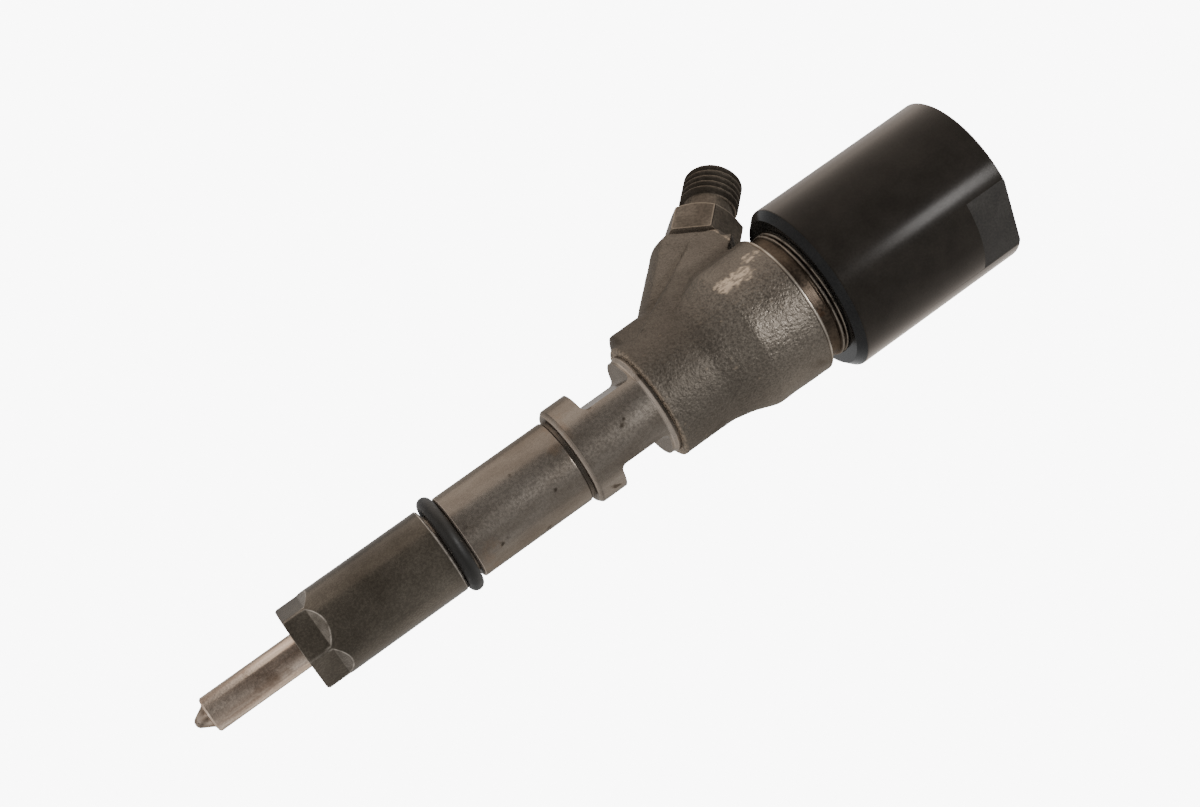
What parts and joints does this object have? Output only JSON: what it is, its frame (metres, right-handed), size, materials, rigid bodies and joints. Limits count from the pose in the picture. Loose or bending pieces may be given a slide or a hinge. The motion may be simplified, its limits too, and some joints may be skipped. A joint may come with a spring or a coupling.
{
  "type": "fuel injector",
  "caption": "Common-rail diesel injector with an angled high-pressure inlet, forged holder body, clamp slots, long nozzle and a solenoid control valve under a cap nut.",
  "frame": {"origin": "on the injector axis, in the sealing face at the foot of the nozzle nut, where the nozzle shank leaves the nut", "axes": "+Z along the injector axis from the nozzle to the solenoid cap; +X towards the side the pressure inlet leans to; the clamp slots face 47 and 227 degrees from +X"},
  "size_m": [0.0598, 0.035, 0.1741],
  "materials": {
    "nozzle_steel": "ground tool steel, heat-tinted and lightly stained",
    "needle_steel": "lapped",
    "phosphated_steel": "dark phosphate finish, worn at the edges",
    "pin_steel": "ground",
    "spring_steel": "drawn wire",
    "shim_steel": "lapped",
    "oring_rubber": "matt black",
    "forged_steel": "forged and phosphated skin, pitted, machined stem",
    "ring_brass": "turned",
    "ball_steel": "polished",
    "hard_steel": "ground",
    "soft_iron": "pressed and sintered",
    "bobbin_plastic": "moulded",
    "coil_copper": "enamelled copper wire",
    "cap_coating": "black finish over fine turning marks",
    "terminal_plastic": "moulded, glass filled",
    "terminal_brass": "plated",
    "fitting_steel": "phosphated steel"
  },
  "bodies": {
    "injector_body": {"nozzle_body": "nozzle_steel", "nozzle_nut": "phosphated_steel", "nozzle_dowel_pins": "pin_steel", "nozzle_spring": "spring_steel", "spring_shim": "shim_steel", "body_oring": "oring_rubber", "holder_body": "forged_steel", "valve_seal_ring": "ring_brass", "valve_backup_ring": "hard_steel", "valve_body": "hard_steel", "valve_clamp_screw": "hard_steel", "lift_shim": "shim_steel", "armature_guide": "hard_steel", "overtravel_spring": "spring_steel", "air_gap_shim": "shim_steel", "magnet_core": "soft_iron", "coil_bobbin": "bobbin_plastic", "coil_winding": "coil_copper", "armature_spring": "spring_steel", "spring_force_shim": "shim_steel", "magnet_housing": "hard_steel", "magnet_oring": "oring_rubber", "coil_leads": "coil_copper", "terminal_block": "terminal_plastic", "terminal_studs": "terminal_brass", "terminal_nuts": "terminal_brass", "solenoid_cap_nut": "cap_coating", "inlet_connector": "fitting_steel", "edge_filter": "hard_steel"},
    "control_piston": {"control_piston": "needle_steel"},
    "needle": {"nozzle_needle": "needle_steel", "spring_seat": "hard_steel"},
    "armature": {"armature_stem": "needle_steel", "armature_plate": "soft_iron", "stem_clip": "spring_steel"},
    "valve_ball": {"valve_ball": "ball_steel", "ball_guide": "hard_steel"}
  },
  "joints": [
    {"name": "piston_lift", "type": "slide", "parent": "injector_body", "child": "control_piston", "axis": [0, 0, 1], "range_m": [0, 0.00025], "stiffness_N_per_m": 10000, "springref_m": -0.002},
    {"name": "needle_lift", "type": "slide", "parent": "injector_body", "child": "needle", "axis": [0, 0, 1], "range_m": [0, 0.00025], "deforming": ["nozzle_spring"]},
    {"name": "armature_lift", "type": "slide", "parent": "injector_body", "child": "armature", "axis": [0, 0, 1], "range_m": [0, 0.00006], "stiffness_N_per_m": 20000, "springref_m": -0.0015, "deforming": ["armature_spring", "overtravel_spring"]},
    {"name": "ball_lift", "type": "slide", "parent": "injector_body", "child": "valve_ball", "axis": [0, 0, 1], "range_m": [0, 0.00006]}
  ],
  "couplings": [
    {"joint": "needle_lift", "follows": "piston_lift", "ratio": 1},
    {"joint": "ball_lift", "follows": "armature_lift", "ratio": 1}
  ]
}
